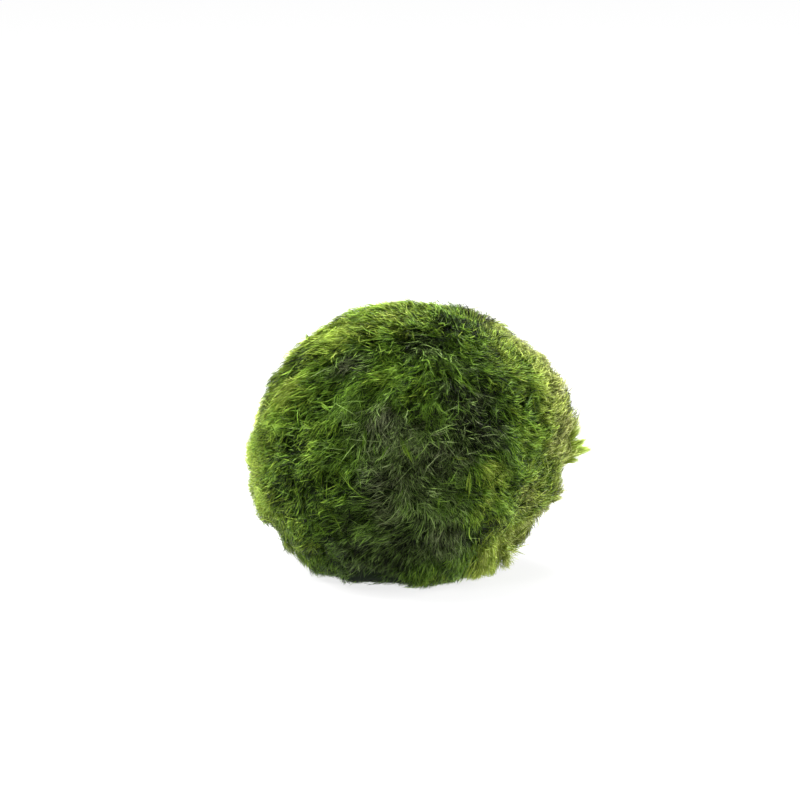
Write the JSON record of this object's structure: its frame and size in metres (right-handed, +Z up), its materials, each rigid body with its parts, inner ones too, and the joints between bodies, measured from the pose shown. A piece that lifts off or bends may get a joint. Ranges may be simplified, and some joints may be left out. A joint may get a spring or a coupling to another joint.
{
  "type": "marimo moss ball",
  "caption": "Round, slightly flattened ball of felted green aquatic algae with combed pointed locks, a small tuft at its right side and a flat spot to rest on.",
  "frame": {"origin": "on the surface that the ball rests on, under the middle of its outline", "axes": "+Z up, -Y to the front as the picture shows it, +X to the side with the small tuft"},
  "size_m": [0.0524, 0.0476, 0.042],
  "materials": {
    "moss": "wet felted green filaments, bright yellow-green at the rims and dark in the hollows"
  },
  "bodies": {
    "root": {"moss_ball": "moss"}
  },
  "joints": []
}
